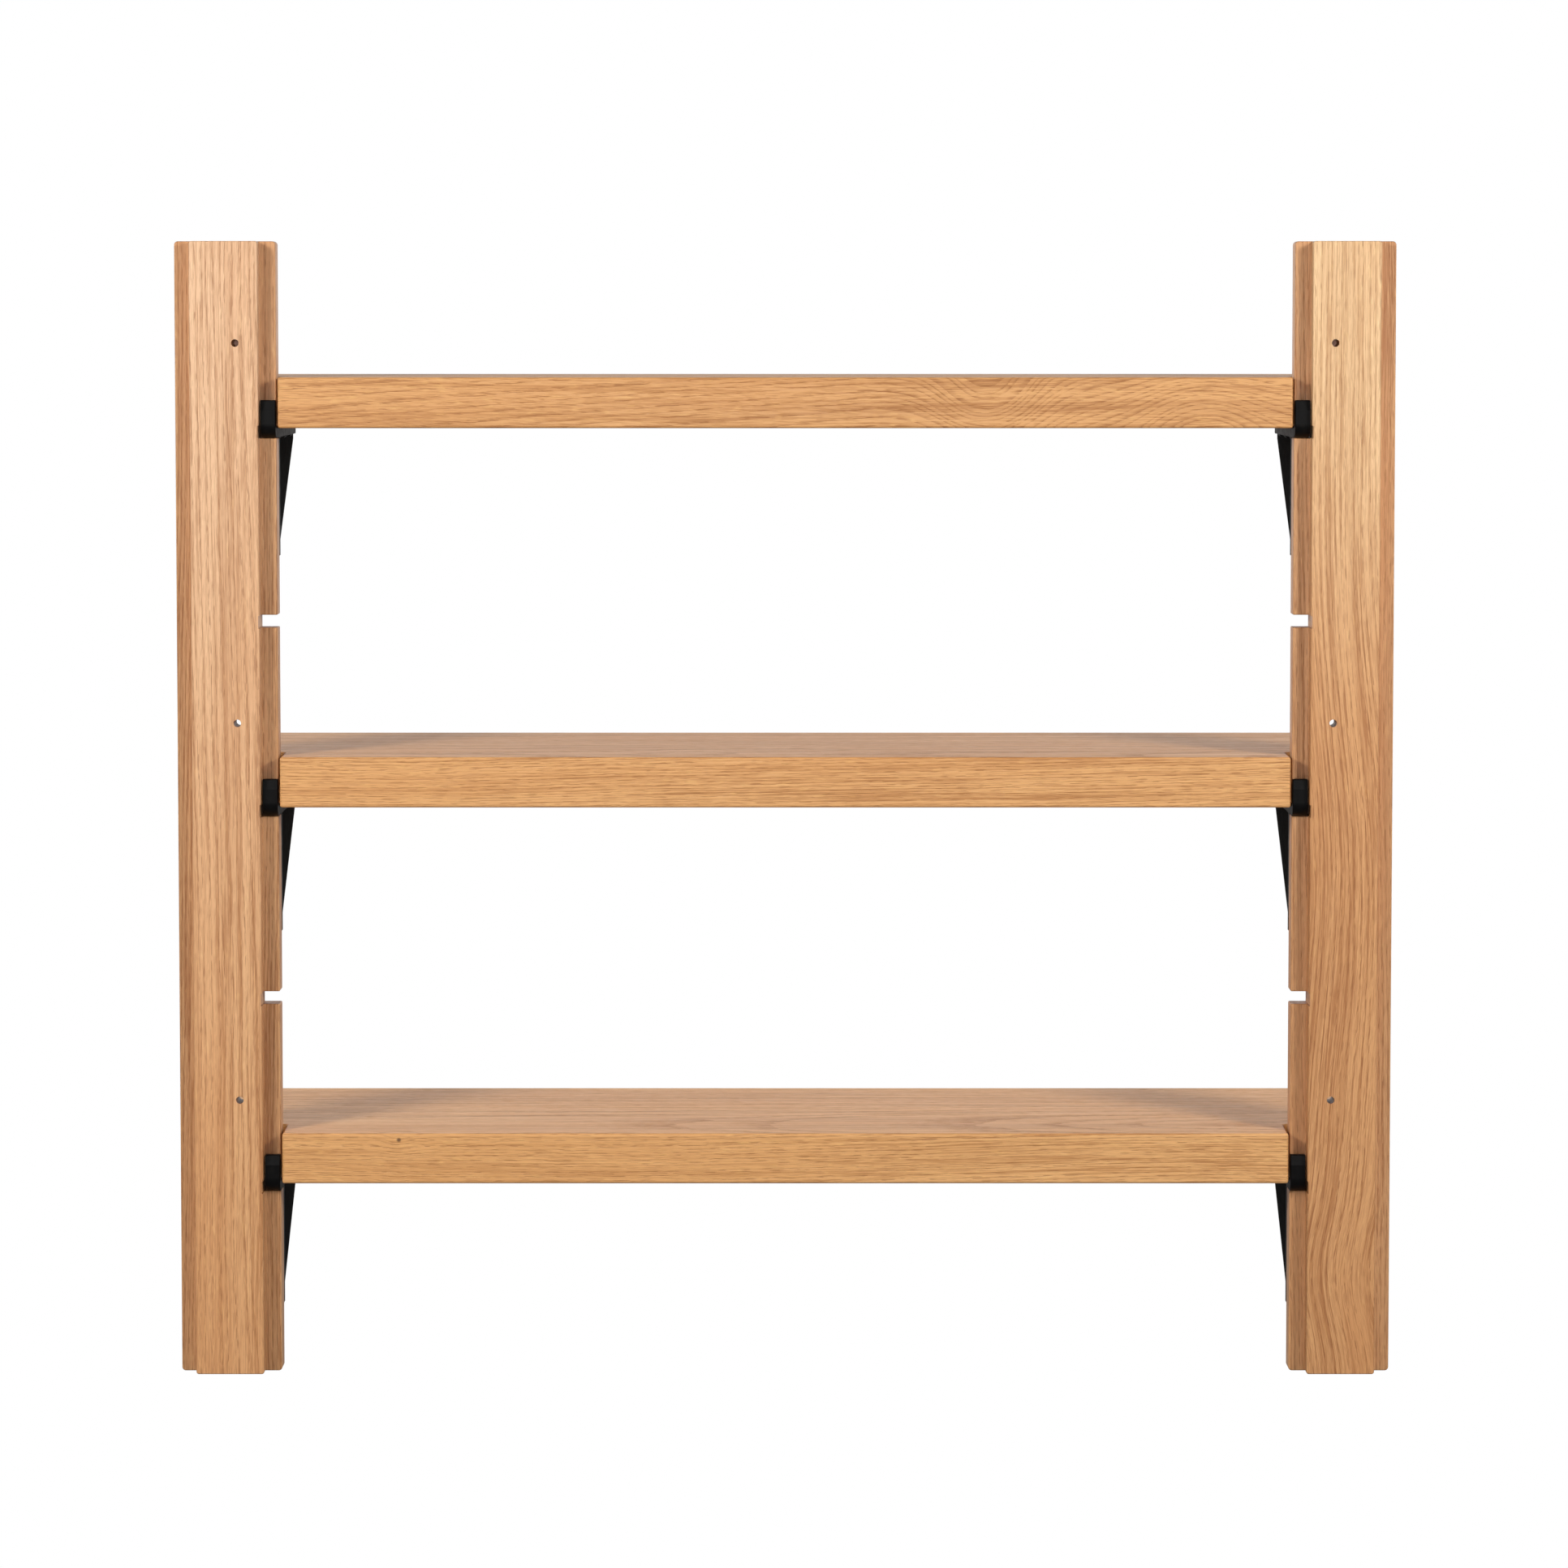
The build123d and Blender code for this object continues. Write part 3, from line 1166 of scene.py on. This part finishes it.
@dataclass
class Studio:
    """White surroundings, a pale floor far below the hanging shelf, soft boxes, and the camera.

    Attributes:
        floor_drop: from the foot of the posts down to the floor.
        floor_radius: radius of the floor.
        floor_spokes: corners of its rim.
        floor_glow: light that the floor gives the object.
        wall_side_glow: light of the surroundings on the wall side.
        room_side_glow: their light round the horizon on the room side.
        room_edges: how far a direction looks into the room where that light begins and is full.
        band_edges: how steep a direction is where the horizon's band ends and the sky has begun.
        sky_share: light of the sky and of the ground, as a share of the band's.
        camera_place: where the camera stands.
        camera_pitch: how many degrees it looks down.
        lens: its focal length in millimetres.
        sensor: width of its sensor in millimetres.
        shift: how far its view is shifted up, as a share of the sensor.
        lights: the soft boxes.
    """

    floor_drop: float = 2.6
    floor_radius: float = 40.0
    floor_spokes: int = 96
    floor_glow: float = 0.24
    wall_side_glow: float = 0.04
    room_side_glow: float = 1.1
    room_edges: Range = (-0.3, 0.35)
    band_edges: Range = (0.15, 0.65)
    sky_share: float = 0.35
    camera_place: Point = (-0.001, -4.159, 0.321)
    camera_pitch: float = 3.71
    lens: float = 121.2
    sensor: float = 36.0
    shift: float = -0.08
    lights: tuple[SoftLight, ...] = SOFT_LIGHTS

    def build(self) -> None:
        """Sets everything up round the object."""
        bpy.context.scene.view_settings.view_transform = "Standard"
        self._surroundings()
        self._floor()
        for light in self.lights:
            light.build()
        self._camera()

    def _surroundings(self) -> None:
        """Makes a white world that shines most from a band round the horizon on the room side."""
        world = bpy.data.worlds.new("white_surroundings")
        bpy.context.scene.world = world
        bench = Bench(world)
        axes = bench.split(bench.node("TexCoord").outputs["Generated"])
        room_side = bench.smooth(axes["Y"], *self.room_edges)
        band = bench.smooth(bench.math("ABSOLUTE", axes["Z"]), *self.band_edges, 1.0, self.sky_share)
        extra = bench.math("MULTIPLY", room_side, band)
        most = self.room_side_glow - self.wall_side_glow
        strength = bench.math("MULTIPLY_ADD", extra, most, self.wall_side_glow)
        self._seen_white(bench, "Background", strength, "OutputWorld")

    def _seen_white(self, bench: Bench, kind: str, strength: Input, output: str) -> None:
        """Gives the camera plain white, and the object light of another strength.

        Args:
            bench: the material or world being made.
            kind: the shader that glows.
            strength: the light that the object gets.
            output: the output node.
        """
        lit, seen = (bench.node(kind) for _ in range(2))
        for shader, power in ((lit, strength), (seen, 1.0)):
            bench.put(shader.inputs["Color"], (1.0, 1.0, 1.0, 1.0))
            bench.put(shader.inputs["Strength"], power)
        either = bench.node("MixShader")
        camera_ray = bench.node("LightPath").outputs["Is Camera Ray"]
        for socket, value in zip(either.inputs, (camera_ray, lit.outputs[0], seen.outputs[0])):
            bench.put(socket, value)
        bench.put(bench.node(output).inputs["Surface"], either.outputs[0])

    def _floor(self) -> None:
        """Lays a round pale floor: a fan of points at equal angles about a centre."""
        angle = np.linspace(0.0, 2 * math.pi, self.floor_spokes, endpoint=False)
        height = cad_box[0].z - self.floor_drop
        rim = np.stack([np.cos(angle), np.sin(angle), np.zeros_like(angle)], axis=-1) * self.floor_radius
        points = np.vstack([np.zeros(3), rim]) + (0.0, 0.0, height)
        next_spoke = np.roll(np.arange(self.floor_spokes), -1)
        fan = [(0, spot + 1, int(after) + 1) for spot, after in enumerate(next_spoke)]
        mesh = bpy.data.meshes.new("pale_floor")
        mesh.from_pydata(points.tolist(), [], fan)
        material = bpy.data.materials.new("pale_floor")
        self._seen_white(Bench(material), "Emission", self.floor_glow, "OutputMaterial")
        mesh.materials.append(material)
        floor = bpy.data.objects.new("pale_floor", mesh)
        bpy.context.scene.collection.objects.link(floor)

    def _camera(self) -> None:
        """Stands the camera before the wall side, a little above the middle shelf, looking slightly down."""
        data = bpy.data.cameras.new("camera")
        data.lens = self.lens
        data.sensor_width = self.sensor
        data.shift_y = self.shift
        camera = bpy.data.objects.new("camera", data)
        camera.location = self.camera_place
        camera.rotation_euler = (math.radians(90 - self.camera_pitch), 0.0, 0.0)
        bpy.context.scene.collection.objects.link(camera)
        bpy.context.scene.camera = camera


def main() -> None:
    """Builds the object's parts in order, then the studio."""
    logging.basicConfig(level=logging.INFO, format="%(message)s")
    for post in POSTS:
        post.build()
    for shelf in SHELVES:
        shelf.build()
    steel, web_steel = BAR_STEEL.material(), WEB_STEEL.material()
    for level in Level:
        for side in Side:
            Bracket(level, side, steel, web_steel).build()
    Studio().build()


if __name__ == "__main__":
    main()
